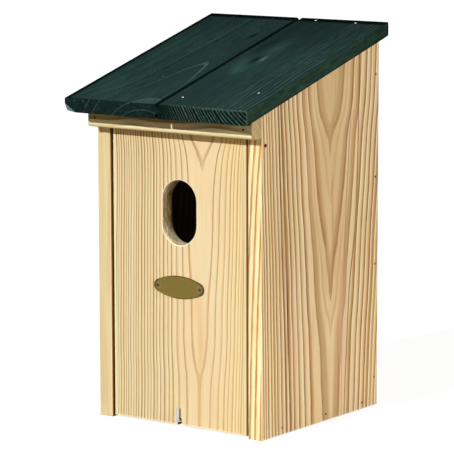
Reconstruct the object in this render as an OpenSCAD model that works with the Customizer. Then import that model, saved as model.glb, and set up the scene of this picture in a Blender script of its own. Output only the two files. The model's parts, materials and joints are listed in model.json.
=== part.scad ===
// Wooden nest box with an oval entrance and a front that swings out for cleaning.
// The front turns on two nails near its top and is locked by a small wire hook
// in the edge of the floor. The roof is two tongued boards, laid down the slope.
// X runs across the box, the front faces -Y, and Z is up. The origin is on the
// ground, in the middle of the box that encloses everything.

/* [Box] */
// Width over the two side walls
box_w = 150; // [110:1:220]
// Depth of the side walls, front edge to back edge
box_d = 153.4; // [110:0.2:220]
// Height of the side walls at their front edge
front_h = 240.4; // [190:0.2:330]
// Thickness of the wall boards
board_t = 12; // [9:0.5:20]
// Thickness of the floor board
floor_t = 10; // [8:0.5:20]
// Width of the small flats that ease the boards' long edges
arris = 0.6; // [0.2:0.1:1.5]

/* [Roof] */
// Fall of the roof towards the front, in degrees
roof_pitch = 15.8; // [5:0.1:25]
// Thickness of the roof boards
roof_t = 10.1; // [8:0.1:20]
// Overhang past the outer face of each side wall
roof_side = 8; // [0:0.5:30]
// Overhang past the front edges of the side walls
roof_front = 28; // [16:0.5:60]
// Place of the seam between the two roof boards, from the middle
seam_x = 2.1; // [-20:0.1:20]
// Width of the V groove along the seam
groove_w = 4.6; // [2:0.1:8]
// Depth of the V groove along the seam
groove_h = 2.2; // [1:0.1:3]
// Length of the tongue
tongue_l = 4; // [2:0.1:8]
// Thickness of the tongue
tongue_t = 3; // [2:0.1:4]
// Width of the open joint on the underside
under_gap = 1.6; // [0.2:0.1:2.4]
// Chipped corner of the left roof board, along X, Y and Z
chip = [10, 3.2, 6.2];

/* [Batten over the front] */
// Thickness of the batten
batten_t = 11.9; // [8:0.1:25]
// Height of the batten where it lies on the side walls
batten_h = 19.8; // [12:0.2:30]
// Rounding of the batten's lower front edge
batten_r = 3; // [0.5:0.1:6]
// How far the batten stops short of the left wall's outer face
batten_short = 1; // [0.1:0.1:5]

/* [Front panel] */
// Gap between the panel and each side wall
side_gap = 1.5; // [0.5:0.1:4]
// How far the panel sits back from the side walls' front edges
panel_back = 1.3; // [0.5:0.1:6]
// Height of the panel's lower edge above the ground
panel_z = 1.7; // [0.5:0.1:3.5]
// Free height between the panel and the roof's underside
panel_top_gap = 5.6; // [3:0.1:20]
// Width of the entrance hole
hole_w = 31.2; // [26:0.2:50]
// Height of the entrance hole
hole_h = 48.2; // [26:0.2:90]
// Distance of the entrance hole's middle below the batten's lower edge
hole_drop = 60; // [45:0.1:90]
// Width of the flat that eases the rim of the entrance hole
hole_ease = 0.5; // [0.2:0.1:2]

/* [Pivot nails] */
// Diameter of the nails
nail_d = 1.8; // [1.4:0.1:2.4]
// Length of the nails under their heads
nail_l = 34; // [25:1:50]
// Diameter of the nail heads
nail_head_d = 2.8; // [2.6:0.1:5]
// Thickness of the nail heads
nail_head_t = 0.8; // [0.4:0.1:2]
// How far the heads are driven in below the side walls' faces
nail_sunk = 0.4; // [0.1:0.1:1.5]
// Nails' distance behind the side walls' front edges
pivot_y = 5; // [4:0.1:8]
// How far the nails lie below the batten's lower edge
pivot_drop = 5.6; // [5:0.1:20]

/* [Hook] */
// Diameter of the hook's wire
wire_d = 2; // [1.4:0.1:3]
// Length of the upright leg, from the middle of the shank to its eased end
leg_l = 10; // [8:0.1:20]
// Length over which the leg's cut end is eased
leg_ease = 0.5; // [0.2:0.1:0.8]
// Radius of the bend, at the middle of the wire
bend_r = 2; // [1.6:0.1:4]
// Clear distance between the leg and the panel's face
leg_clear = 1.4; // [0.6:0.1:3]
// Length of the shank inside the floor board
shank_l = 15; // [8:1:25]
// Place of the hook from the middle of the box
hook_x = -0.3; // [-30:0.1:30]
// Free width on each side of the shank in the panel's notch
notch_side = 0.9; // [0.5:0.1:3]
// Free height over the shank in the panel's notch
notch_rise = 1.3; // [0.6:0.1:4]

/* [Name plate] */
// Length of the oval plate
plate_w = 45.6; // [20:0.2:80]
// Height of the oval plate
plate_h = 16.8; // [10:0.2:24]
// Thickness of the plate
plate_t = 0.8; // [0.5:0.1:2]
// Radius of the plate's ends
plate_end_r = 4.6; // [2:0.1:4.8]
// Distance of the plate's middle below the entrance hole's middle
plate_drop = 55.2; // [40:0.2:75]
// Distance between the plate's two pin holes
pin_span = 38.5; // [12:0.5:70]
// Diameter of the pin holes
pin_d = 1.4; // [1:0.1:3]

/* [Back and floor holes] */
// Diameter of the hole for the screw that hangs the box
hang_d = 6; // [4:0.5:10]
// Distance of the hanging hole below the back wall's top edge
hang_drop = 30; // [15:1:60]
// Diameter of the drain holes in the floor
drain_d = 6; // [4:0.5:10]
// Distance of the drain holes from the floor's edges
drain_in = 22; // [12:1:40]

/* [Fits] */
// Free space round a pin or a shank that turns
turn_fit = 0.05; // [0.02:0.01:0.1]
// Free space round a nail that is driven fast
nail_fit = 0.02; // [0.01:0.01:0.05]
// Free space between the floor's front edge and the panel
floor_fit = 0.5; // [0.2:0.1:2]
// Free space between two boards that meet
board_fit = 0.05; // [0.02:0.01:0.3]
// Free space round the tongue of the roof boards
tongue_fit = 0.15; // [0.05:0.05:0.4]
// Free length past the end of a nail or a shank in its hole
end_fit = 0.5; // [0.2:0.1:2]

/* [Hidden] */
$fn = 48;
// how far a cut runs past the faces that it opens, and a length past everything
cut = 1;
far = 1000;

slope = tan(roof_pitch);
inner_w = box_w - 2 * board_t;
roof_w = box_w + 2 * roof_side;
// front edges of the side walls, so that roof and walls together are centred on Y
front_y = -(box_d - roof_front) / 2;
panel_w = inner_w - 2 * side_gap;
panel_h = under_roof_z(panel_back) - panel_top_gap - panel_z;
batten_z = front_h - batten_h;
hole_z = batten_z - hole_drop;
plate_z = hole_z - plate_drop;
pivot_z = batten_z - pivot_drop;
nail_tip_x = box_w / 2 - nail_sunk - nail_l;
shank_z = floor_t / 2;
notch_w = wire_d + 2 * notch_side;
notch_top = shank_z + wire_d / 2 + notch_rise;
leg_y = panel_back - leg_clear - wire_d / 2;
floor_y = panel_back + board_t + floor_fit;
floor_d = box_d - board_t - floor_y;
back_top = under_roof_z(box_d);
// lower face of the tongue, above the roof boards' undersides
tongue_z = (roof_t - tongue_t) / 2;
wood = "burlywood";
stain = "darkslategray";

// height of the roof's underside, y behind the side walls' front edges
function under_roof_z(y) = front_h + slope * y;

// moves what is drawn from the side walls' front edges to the model's origin
module from_front() {
    translate([0, front_y, 0])
        children();
}

// a board's cross-section with its four edges eased
module eased_section(w, d) {
    a = arris;
    polygon([
        [-w / 2 + a, 0], [w / 2 - a, 0], [w / 2, a], [w / 2, d - a],
        [w / 2 - a, d], [-w / 2 + a, d], [-w / 2, d - a], [-w / 2, a]
    ]);
}

// cuts what is drawn to the slope of the roof's underside
module cut_to_roof() {
    intersection() {
        children();
        rotate([90, 0, 90])
            linear_extrude(2 * far, center = true)
                polygon([
                    [-far, -far], [far, -far],
                    [far, under_roof_z(far)], [-far, under_roof_z(-far)]
                ]);
    }
}

// a round bar along X
module bar_x(d, l) {
    rotate([0, 90, 0])
        cylinder(d = d, h = l);
}

// side is -1 for the left wall and 1 for the right
module side_wall(side) {
    color(wood)
        from_front()
            difference() {
                cut_to_roof()
                    translate([side * (box_w - board_t) / 2, 0, 0])
                        linear_extrude(back_top + cut)
                            eased_section(board_t, box_d);
                // the pivot nail's hole, wider for the sunk head
                translate([0, pivot_y, pivot_z])
                    mirror([side < 0 ? 1 : 0, 0, 0]) {
                        translate([box_w / 2 - board_t - cut, 0, 0])
                            bar_x(nail_d + 2 * nail_fit, board_t + 2 * cut);
                        translate([box_w / 2 - nail_sunk - nail_head_t - nail_fit, 0, 0])
                            bar_x(nail_head_d + 2 * nail_fit, nail_sunk + nail_head_t + cut);
                    }
            }
}

module back_wall() {
    color(wood)
        from_front()
            difference() {
                cut_to_roof()
                    translate([0, box_d - board_t, 0])
                        linear_extrude(back_top + cut)
                            eased_section(inner_w - 2 * board_fit, board_t);
                translate([0, box_d + cut, back_top - hang_drop])
                    rotate([90, 0, 0])
                        cylinder(d = hang_d, h = board_t + 2 * cut);
            }
}

module floor_board() {
    inset = inner_w / 2 - drain_in;
    color(wood)
        from_front()
            difference() {
                translate([0, floor_y, 0])
                    rotate([90, 0, 90])
                        linear_extrude(inner_w - 2 * board_fit, center = true)
                            translate([floor_d / 2, 0])
                                eased_section(floor_d - 2 * board_fit, floor_t);
                for (x = [-inset, inset], y = [floor_y + drain_in, floor_y + floor_d - drain_in])
                    translate([x, y, -cut])
                        cylinder(d = drain_d, h = floor_t + 2 * cut);
                // the hole for the hook's shank
                translate([hook_x, floor_y - cut, shank_z])
                    rotate([-90, 0, 0])
                        cylinder(d = wire_d + 2 * turn_fit, h = cut + shank_l + end_fit);
            }
}

module front_batten() {
    top = under_roof_z(0) + cut;
    color(wood)
        from_front()
            cut_to_roof()
                translate([batten_short - box_w / 2, 0, 0])
                    rotate([90, 0, 90])
                        linear_extrude(box_w - batten_short)
                            difference() {
                                translate([-batten_t, batten_z])
                                    square([batten_t - board_fit, top - batten_z]);
                                translate([-batten_t, batten_z])
                                    difference() {
                                        translate([-cut, -cut])
                                            square(batten_r + cut);
                                        translate([batten_r, batten_r])
                                            circle(r = batten_r);
                                    }
                            }
}

// cross-section of the left roof board, with X counted from the seam: the outer
// edge, the underside up to the open joint, the tongue, and the V groove's bevel
module left_section(reach) {
    polygon([
        [-reach + arris, 0], [-under_gap / 2, 0], [-under_gap / 2, tongue_z],
        [tongue_l, tongue_z], [tongue_l, tongue_z + tongue_t],
        [-board_fit / 2, tongue_z + tongue_t], [-board_fit / 2, roof_t - groove_h],
        [-groove_w / 2, roof_t], [-reach + arris, roof_t],
        [-reach, roof_t - arris], [-reach, arris]
    ]);
}

// the same for the right board, with the slot that takes the tongue
module right_section(reach) {
    slot_low = tongue_z - tongue_fit;
    slot_high = tongue_z + tongue_t + tongue_fit;
    slot_end = tongue_l + tongue_fit;
    polygon([
        [reach - arris, 0], [reach, arris], [reach, roof_t - arris],
        [reach - arris, roof_t], [groove_w / 2, roof_t],
        [board_fit / 2, roof_t - groove_h], [board_fit / 2, slot_high],
        [slot_end, slot_high], [slot_end, slot_low],
        [under_gap / 2, slot_low], [under_gap / 2, 0]
    ]);
}

// lays a cross-section down the roof's slope and saws its ends plumb
module down_the_slope() {
    intersection() {
        translate([0, 0, front_h + board_fit])
            rotate([90 + roof_pitch, 0, 0])
                linear_extrude(4 * (box_d + roof_front), center = true)
                    children();
        translate([-far, -roof_front, 0])
            cube([2 * far, box_d + roof_front, far]);
    }
}

// takes the corner off at the origin, where chip gives its reach along each axis
module broken_corner() {
    across = [1 / chip.x, 1 / chip.y, 1 / chip.z];
    depth = 1 / norm(across);
    size = 3 * max(chip);
    rotate([0, acos(across.z / norm(across)), atan2(across.y, across.x)])
        translate([-size / 2, -size / 2, depth - size])
            cube(size);
}

module roof_board_left() {
    color(stain)
        from_front()
            difference() {
                down_the_slope()
                    translate([seam_x, 0])
                        left_section(roof_w / 2 + seam_x);
                translate([-roof_w / 2, -roof_front, under_roof_z(-roof_front) + board_fit])
                    broken_corner();
            }
}

module roof_board_right() {
    color(stain)
        from_front()
            down_the_slope()
                translate([seam_x, 0])
                    right_section(roof_w / 2 - seam_x);
}

// upright oval hole with half-round ends, made along +Y from the origin
module oval_bar(w, h, l) {
    for (end = [-1, 1])
        translate([0, 0, end * (h - w) / 2])
            rotate([-90, 0, 0])
                cylinder(d = w, h = l);
    translate([-w / 2, 0, -(h - w) / 2])
        cube([w, l, h - w]);
}

// the same outline, flaring by ease over a depth of ease
module oval_flare(w, h, ease) {
    for (end = [-1, 1])
        translate([0, 0, end * (h - w) / 2])
            rotate([-90, 0, 0])
                cylinder(d1 = w + 2 * ease, d2 = w, h = ease);
    translate([0, 0, -(h - w) / 2])
        linear_extrude(h - w)
            polygon([[-w / 2 - ease, 0], [w / 2 + ease, 0], [w / 2, ease], [-w / 2, ease]]);
}

module front_panel() {
    color(wood)
        from_front()
            difference() {
                translate([0, panel_back, panel_z])
                    linear_extrude(panel_h)
                        eased_section(panel_w, board_t);
                // the entrance
                translate([0, panel_back - cut, hole_z])
                    oval_bar(hole_w, hole_h, board_t + 2 * cut);
                translate([0, panel_back, hole_z])
                    oval_flare(hole_w, hole_h, hole_ease);
                // holes in the side edges that turn on the pivot nails
                for (side = [0, 1])
                    mirror([side, 0, 0])
                        translate([nail_tip_x - end_fit, pivot_y, pivot_z])
                            bar_x(nail_d + 2 * turn_fit, panel_w / 2 - nail_tip_x + end_fit + cut);
                // open notch over the hook's shank
                translate([hook_x, panel_back - cut, notch_top - notch_w / 2])
                    rotate([-90, 0, 0])
                        cylinder(d = notch_w, h = board_t + 2 * cut);
                translate([hook_x - notch_w / 2, panel_back - cut, panel_z - cut])
                    cube([notch_w, board_t + 2 * cut, notch_top - notch_w / 2 - panel_z + cut]);
            }
}

// outline of the name plate: two large arcs that run into its rounded ends
module plate_outline() {
    end_x = plate_w / 2 - plate_end_r;
    rise = plate_h / 2;
    arc_r = (pow(end_x, 2) + pow(rise, 2) - pow(plate_end_r, 2)) / (2 * (rise - plate_end_r));
    meet_x = end_x * arc_r / (arc_r - plate_end_r);
    for (end = [-1, 1])
        translate([end * end_x, 0])
            circle(r = plate_end_r);
    intersection() {
        translate([0, rise - arc_r])
            circle(r = arc_r, $fn = 120);
        translate([0, arc_r - rise])
            circle(r = arc_r, $fn = 120);
        square([2 * meet_x, plate_h], center = true);
    }
}

module name_plate() {
    color("darkkhaki")
        from_front()
            translate([0, panel_back - board_fit, plate_z])
                rotate([90, 0, 0])
                    linear_extrude(plate_t)
                        difference() {
                            plate_outline();
                            for (end = [-1, 1])
                                translate([end * pin_span / 2, 0])
                                    circle(d = pin_d);
                        }
}

// side is -1 for the left nail and 1 for the right
module pivot_nail(side) {
    point_l = 2 * nail_d;
    color("dimgray")
        from_front()
            mirror([side < 0 ? 1 : 0, 0, 0])
                translate([nail_tip_x, pivot_y, pivot_z])
                    rotate([0, 90, 0]) {
                        cylinder(d1 = nail_d / 4, d2 = nail_d, h = point_l);
                        translate([0, 0, point_l])
                            cylinder(d = nail_d, h = nail_l - point_l);
                        translate([0, 0, nail_l - nail_head_t])
                            cylinder(d = nail_head_d, h = nail_head_t);
                    }
}

// shank out of the floor, through the notch, then a bend up into the leg
module latch_hook() {
    shank_end = floor_y + shank_l;
    color("silver")
        from_front()
            translate([hook_x, 0, shank_z]) {
                translate([0, leg_y + bend_r, 0])
                    rotate([-90, 0, 0])
                        cylinder(d = wire_d, h = shank_end - leg_y - bend_r);
                translate([0, leg_y + bend_r, bend_r])
                    rotate([180, 90, 0])
                        rotate_extrude(angle = 90)
                            translate([bend_r, 0])
                                circle(d = wire_d);
                translate([0, leg_y, bend_r])
                    cylinder(d = wire_d, h = leg_l - bend_r);
                translate([0, leg_y, leg_l])
                    cylinder(d1 = wire_d, d2 = wire_d - 2 * leg_ease, h = leg_ease);
            }
}

side_wall(-1);  // side_wall_left
side_wall(1);  // side_wall_right
back_wall();
floor_board();
front_batten();
roof_board_left();
roof_board_right();
front_panel();
name_plate();
pivot_nail(-1);  // pivot_nail_left
pivot_nail(1);  // pivot_nail_right
latch_hook();
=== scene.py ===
import json
import math

import bpy
from mathutils import Matrix, Vector


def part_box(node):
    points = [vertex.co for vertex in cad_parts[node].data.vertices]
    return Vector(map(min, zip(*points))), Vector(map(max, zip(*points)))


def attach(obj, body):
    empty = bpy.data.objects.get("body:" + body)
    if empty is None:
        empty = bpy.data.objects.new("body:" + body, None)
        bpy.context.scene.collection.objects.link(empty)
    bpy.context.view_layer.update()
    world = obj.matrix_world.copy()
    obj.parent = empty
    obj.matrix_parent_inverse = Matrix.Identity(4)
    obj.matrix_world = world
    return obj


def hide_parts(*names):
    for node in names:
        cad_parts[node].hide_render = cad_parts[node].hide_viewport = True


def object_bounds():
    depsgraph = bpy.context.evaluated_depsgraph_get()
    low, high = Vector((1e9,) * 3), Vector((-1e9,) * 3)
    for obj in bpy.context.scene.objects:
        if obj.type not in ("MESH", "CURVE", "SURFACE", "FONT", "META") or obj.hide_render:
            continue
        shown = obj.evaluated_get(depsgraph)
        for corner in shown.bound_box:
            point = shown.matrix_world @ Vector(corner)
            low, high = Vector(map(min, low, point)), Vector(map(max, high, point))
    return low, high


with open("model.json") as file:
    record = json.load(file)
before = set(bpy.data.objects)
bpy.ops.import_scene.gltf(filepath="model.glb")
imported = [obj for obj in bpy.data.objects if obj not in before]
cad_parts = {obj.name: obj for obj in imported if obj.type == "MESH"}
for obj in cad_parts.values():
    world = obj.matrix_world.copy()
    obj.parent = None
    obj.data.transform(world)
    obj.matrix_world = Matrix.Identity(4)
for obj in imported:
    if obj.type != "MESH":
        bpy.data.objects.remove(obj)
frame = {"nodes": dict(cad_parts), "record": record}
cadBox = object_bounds()
nodes = frame["nodes"]
mm = 0.001

boxLow, boxHigh = (corner / mm for corner in cadBox)
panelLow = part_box("front_panel")[0] / mm
wallLow, wallHigh = (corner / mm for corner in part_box("side_wall_right"))
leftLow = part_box("side_wall_left")[0] / mm
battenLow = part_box("front_batten")[0] / mm
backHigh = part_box("back_wall")[1] / mm
floorLow, floorHigh = (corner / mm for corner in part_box("floor_board"))
plateLow, plateHigh = (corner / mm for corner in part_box("name_plate"))
print("frame loaded, size in mm:", *(round(side, 1) for side in boxHigh - boxLow))


# ---- camera and light

cameraView = {
    "azimuth": 36.203,       # degrees round the box, 0 looks straight at the front
    "elevation": 8.734,
    "roll": -0.131,
    "distance": 2010.3,      # mm
    "aim": (-7.78, 8.65, 140.71),
    "lens": 210.89,
    "sensor": 36,
    "nearest": 0.1,          # metres
    "farthest": 50,
}


def wayTo(place):
    # from the box towards something at this azimuth and elevation
    azimuth = math.radians(place["azimuth"])
    elevation = math.radians(place["elevation"])
    level = math.cos(elevation)
    return Vector((math.sin(azimuth) * level, -math.cos(azimuth) * level, math.sin(elevation)))


def placeCamera(view):
    azimuth = math.radians(view["azimuth"])
    roll = math.radians(view["roll"])
    back = wayTo(view)
    levelRight = Vector((math.cos(azimuth), math.sin(azimuth), 0))
    levelUp = back.cross(levelRight)
    right = levelRight * math.cos(roll) + levelUp * math.sin(roll)
    up = levelUp * math.cos(roll) - levelRight * math.sin(roll)
    bpy.ops.object.camera_add()
    camera = bpy.context.object
    camera.name = "camera"
    camera.data.sensor_width = view["sensor"]
    camera.data.lens = view["lens"]
    camera.data.clip_start = view["nearest"]
    camera.data.clip_end = view["farthest"]
    turned = Matrix((right, up, back)).transposed().to_4x4()
    place = (Vector(view["aim"]) + back * view["distance"]) * mm
    camera.matrix_world = Matrix.Translation(place) @ turned
    bpy.context.scene.camera = camera


lamps = {
    # strength, softness in degrees, azimuth it comes from, height above the horizon
    "keyLamp": {"strength": 3.1, "softness": 2.5, "azimuth": -6, "elevation": 28.5},
    "sideLamp": {"strength": 2.1, "softness": 22, "azimuth": 80, "elevation": 14},
    "backLamp": {"strength": 1.9, "softness": 35, "azimuth": 208, "elevation": 18},
}
lampDistance = 2   # metres, a sun shines the same from anywhere


def addLamps():
    for name, lamp in lamps.items():
        towardsLamp = wayTo(lamp)
        bpy.ops.object.light_add(type="SUN", location=towardsLamp * lampDistance)
        made = bpy.context.object
        made.name = name
        made.rotation_euler = towardsLamp.to_track_quat("Z", "Y").to_euler()
        made.data.energy = lamp["strength"]
        made.data.angle = math.radians(lamp["softness"])


placeCamera(cameraView)
addLamps()
bpy.context.scene.view_settings.view_transform = "Standard"
print("camera and lamps placed")


# ---- shader maths

def paint(red, green, blue):
    # a colour as it is seen on a screen, 0 to 255, in the linear values that a shader takes
    def linear(value):
        value = value / 255
        return value / 12.92 if value <= 0.04045 else ((value + 0.055) / 1.055) ** 2.4
    return (linear(red), linear(green), linear(blue), 1)


def palette(**colours):
    return {name: paint(*colour) for name, colour in colours.items()}


class Wire:
    tree = None      # the node tree that is being drawn

    def __init__(self, socket):
        self.socket = socket

    @classmethod
    def node(cls, kind, settings=None, sockets=None, output=0):
        made = cls.tree.nodes.new("ShaderNode" + kind)
        for key, value in (settings or {}).items():
            if key == "curve":
                curve = made.mapping.curves[0]
                while len(curve.points) < len(value):
                    curve.points.new(0.5, 0.5)
                for point, place in zip(curve.points, value):
                    point.location = place
                made.mapping.update()
            else:
                setattr(made, key, value)
        for key, value in (sockets or {}).items():
            if isinstance(value, Wire):
                cls.tree.links.new(value.socket, made.inputs[key])
            else:
                made.inputs[key].default_value = value
        return cls(made.outputs[output]) if made.outputs else None

    def apply(self, operation, *others, clamp=False):
        settings = {"operation": operation, "use_clamp": clamp}
        values = dict(enumerate((self,) + others))
        return Wire.node("Math", settings, values)

    def __add__(self, other):
        return self.apply("ADD", other)

    __radd__ = __add__

    def __sub__(self, other):
        return self.apply("SUBTRACT", other)

    def __rsub__(self, other):
        return Wire.node("Math", {"operation": "SUBTRACT"}, {0: other, 1: self})

    def __mul__(self, other):
        return self.apply("MULTIPLY", other)

    __rmul__ = __mul__

    def __truediv__(self, other):
        return self.apply("DIVIDE", other)

    def __pow__(self, other):
        return self.apply("POWER", other)

    def size(self):
        return self.apply("ABSOLUTE")

    def root(self):
        return self.apply("SQRT")

    def floor(self):
        return self.apply("FLOOR")

    def clip(self):
        return self.apply("ADD", 0, clamp=True)

    def least(self, other):
        return self.apply("MINIMUM", other)

    def most(self, other):
        return self.apply("MAXIMUM", other)

    def step(self, start, end):
        # 0 before start and 1 after end, or the other way round where end lies before start
        sockets = {"Value": self, "From Min": start, "From Max": end, "To Min": 0, "To Max": 1}
        return Wire.node("MapRange", {"interpolation_type": "SMOOTHSTEP"}, sockets)

    def hump(self, middle, reach):
        # 1 at middle, down to 0 at reach on either side
        return (self - middle).size().step(reach, 0)

    def fade(self, reach):
        # 1 at 0, dying away on either side
        return (self.size() / -reach).apply("EXPONENT")


def vector(x, y, z):
    return Wire.node("CombineXYZ", None, {0: x, 1: y, 2: z})


def dot(one, other):
    return Wire.node("VectorMath", {"operation": "DOT_PRODUCT"}, {0: one, 1: other}, "Value")


def strongest(wires):
    # the greatest of several values at each point
    best = wires[0]
    for wire in wires[1:]:
        best = best.most(wire)
    return best


def inMillimetres(corner, scale=1):
    # places on a piece, in mm from this corner, or at another scale
    place = Wire.node("TexCoord", None, None, "Object")
    sockets = {0: place, 1: (scale / mm,) * 3, 2: -Vector(corner)}
    return Wire.node("VectorMath", {"operation": "MULTIPLY_ADD"}, sockets, "Vector")


def noise(place, detail=2, roughness=0.5):
    sockets = {"Vector": place, "Scale": 1, "Detail": detail, "Roughness": roughness}
    return Wire.node("TexNoise", None, sockets)


def chance(number, seed):
    # a steady random value from 0 to 1 for each whole number
    return Wire.node("TexWhiteNoise", {"noise_dimensions": "1D"}, {"W": number + seed}, "Value")


def blend(amount, one, other):
    return Wire.node("Mix", {"data_type": "RGBA"}, {"Factor": amount, 6: one, 7: other}, 2)


def shade(colour, amount):
    # lightens or darkens a colour by a factor that changes over the surface
    settings = {"data_type": "RGBA", "blend_type": "MULTIPLY"}
    grey = Wire.node("CombineColor", None, {0: amount, 1: amount, 2: amount})
    return Wire.node("Mix", settings, {"Factor": 1, 6: colour, 7: grey}, 2)


def startNodes(owner):
    owner.use_nodes = True
    owner.node_tree.nodes.clear()
    Wire.tree = owner.node_tree


def startMaterial(name):
    material = bpy.data.materials.new(name)
    startNodes(material)
    return material


def finishMaterial(colour, roughness, height, depth, gloss, metal=0.0):
    bump = Wire.node("Bump", None, {"Strength": 1.0, "Distance": depth * mm, "Height": height})
    sockets = {"Base Color": colour, "Roughness": roughness, "Metallic": metal,
               "Specular IOR Level": gloss, "Normal": bump}
    surface = Wire.node("BsdfPrincipled", None, sockets)
    Wire.node("OutputMaterial", None, {"Surface": surface})


def dress(piece, material):
    piece.data.materials.clear()
    piece.data.materials.append(material)


# ---- wood: year rings round the heart of a tree, cut by the board's faces

firstRing = 40   # the number of the ring that lies at ringStart


class Board:
    # places on a board, in mm: across its face, along its length, and into it from the face
    def __init__(self, node, spec):
        corner = Vector(spec["corner"])
        self.inMm = inMillimetres(corner)
        self.seed = spec["seed"]
        self.along = dot(self.inMm, spec["along"])
        ways = [Vector(way) for way in (spec["across"], spec.get("toEnd", spec["along"]), spec["into"])]
        self.across, self.toEnd, self.into = (dot(self.inMm, way) for way in ways)
        places = [vertex.co / mm - corner for vertex in nodes[node].data.vertices]
        self.low = [min(place.dot(way) for place in places) for way in ways]
        self.high = [max(place.dot(way) for place in places) for way in ways]
        # how far the nearer of the two faces lies, each way
        self.gaps = []
        for value, low, high in zip((self.across, self.toEnd, self.into), self.low, self.high):
            self.gaps.append((high - low) / 2 - (value - (high + low) / 2).size())

    def grain(self, across, along, detail=2, roughness=0.5, shift=0.0):
        # noise drawn out along the board, from -0.5 to 0.5
        place = vector(self.across / across + self.seed, self.along / along + shift,
                       self.into / across + shift)
        return noise(place, detail, roughness) - 0.5

    def arris(self, width):
        # 1 on the board's edges, fading out over its faces
        side, end, face = self.gaps
        nearest = (side + end).least(side + face).least(end + face)
        return nearest.step(width, width * 0.3)

    def sawnEnd(self):
        # 1 on the two end faces
        return self.gaps[1].step(0.3, 0.12)


def drawn(value, points):
    # a value that follows a drawn curve, from its first place to its last
    start, end = points[0][0], points[-1][0]
    least = min(height for place, height in points)
    span = max(height for place, height in points) - least
    curve = [((place - start) / (end - start), (height - least) / span) for place, height in points]
    share = (value - start) / (end - start)
    return Wire.node("FloatCurve", {"curve": curve}, {"Value": share}) * span + least


def oval(across, along, width, length, **effect):
    # a patch on a board: where its middle is, its size, and what it does there
    return {"across": across, "along": along, "width": width, "length": length, **effect}


def spot(board, where):
    # 1 in the middle of an oval patch, fading out round it
    gap = ((board.across - where["across"]) / where["width"]) ** 2
    gap = gap + ((board.along - where["along"]) / where["length"]) ** 2
    return (gap * -1).apply("EXPONENT")


def resinLine(board, resin):
    # one dark ring drawn where it lies, sharp on its outer side and fading towards the heart
    path = resin["path"]
    fray = board.grain(0.7, 11, 2, 0.6, shift=path[0][1]) * 0.5
    bend = board.grain(9, 60, 1, shift=path[0][1] + 3) * 1.2
    gap = (board.across - drawn(board.along, path) + bend) * resin["heartward"] + fray
    return gap.step(-0.3, 0.05) * gap.step(resin["width"], resin["width"] * 0.2)


def yearRings(board, spec):
    # how many rings lie between the heart and each point, how far the point is into
    # its own ring, and a random value for that ring
    along = board.along
    wander = board.grain(95, 85, 1, shift=3.1) * spec["wander"]
    swell = board.grain(110, 60, 1, shift=8.7) * spec["swell"]
    ripple = board.grain(7, 26, 2, shift=5.3) * spec["ripple"]
    fray = board.grain(0.5, 7, 2, 0.6, shift=1.9) * spec["fray"]
    sideways = board.across - spec["heart"] - along * spec["lean"] + wander
    if "flare" in spec:
        flare = sideways.step(-12, 12) * (spec["flareRight"] - spec["flare"]) + spec["flare"]
        sideways = sideways / ((along - spec["flareFrom"]) * flare + 1)
    if "bow" in spec:
        sideways = sideways - drawn(along, spec["bow"])
    deep = spec["depth"] - board.into + swell
    if "rise" in spec:
        deep = deep - drawn(along, spec["rise"])   # how the heart comes nearer to the face
    for hill in spec.get("hills", ()):
        # a knot or a swelling of the trunk pushes the rings out
        deep = deep + spot(board, hill) * hill["push"]
    reach = (sideways * sideways + deep * deep).root() + ripple + fray
    if "dent" in spec:
        # rings that are dented over the heart come out of the face as pointed arches
        fall = sideways.fade(spec["dentReach"])
        reach = reach + (1 - fall) * spec["dent"]
    if "tighten" in spec:
        reach = reach + drawn(board.across, spec["tighten"])   # where the rings lie closer together
    count = (reach - spec["ringStart"]) / spec["ringWidth"] + firstRing
    drift = count * 0.37 + spec["seed"]
    uneven = Wire.node("TexNoise", {"noise_dimensions": "1D"}, {"W": drift, "Scale": 1, "Detail": 1})
    count = count + (uneven - 0.5) * spec["unevenRings"]
    board.count, board.sideways, board.ring = count, sideways, count.floor()
    board.share = count - board.ring
    board.lot = chance(board.ring, spec["seed"] * 3.7)


bareFinish = {"roughness": 0.66, "relief": 0.045, "gloss": 0.1}   # relief in mm


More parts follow.
